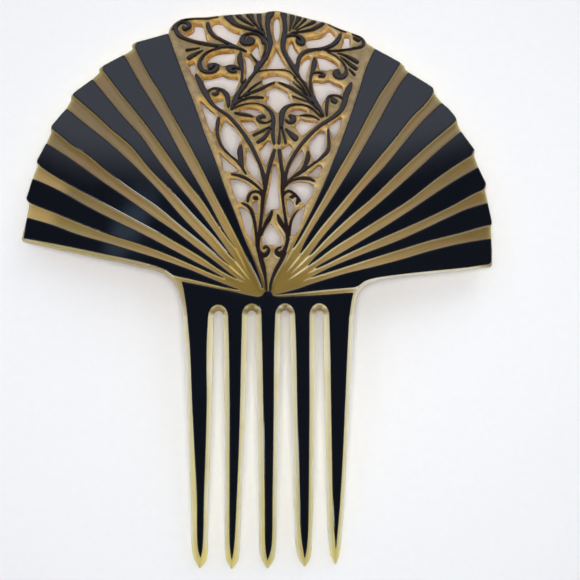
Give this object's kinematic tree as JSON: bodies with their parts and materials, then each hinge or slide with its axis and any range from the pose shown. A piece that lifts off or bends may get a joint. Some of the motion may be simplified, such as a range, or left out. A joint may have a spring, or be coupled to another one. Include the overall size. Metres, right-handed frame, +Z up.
{
  "type": "hair comb",
  "caption": "Tall hair comb of black over translucent amber, with a pleated fan, a pierced scroll panel and long tines.",
  "frame": {"origin": "middle of the comb's plan, on the surface that it lies on, hollow side down", "axes": "+X to the right seen from the black face, +Y from the tines to the crest of the fan, +Z up out of the black face"},
  "size_m": [0.1574, 0.1892, 0.0202],
  "materials": {
    "amber": "glossy, translucent",
    "black": "glossy"
  },
  "bodies": {
    "root": {"amber_body": "amber", "black_heading": "black", "scrollwork": "black", "left_pleat_1": "black", "left_pleat_2": "black", "left_pleat_3": "black", "left_pleat_4": "black", "left_pleat_5": "black", "left_pleat_6": "black", "left_pleat_7": "black", "right_pleat_1": "black", "right_pleat_2": "black", "right_pleat_3": "black", "right_pleat_4": "black", "right_pleat_5": "black", "right_pleat_6": "black", "right_pleat_7": "black"}
  },
  "joints": []
}
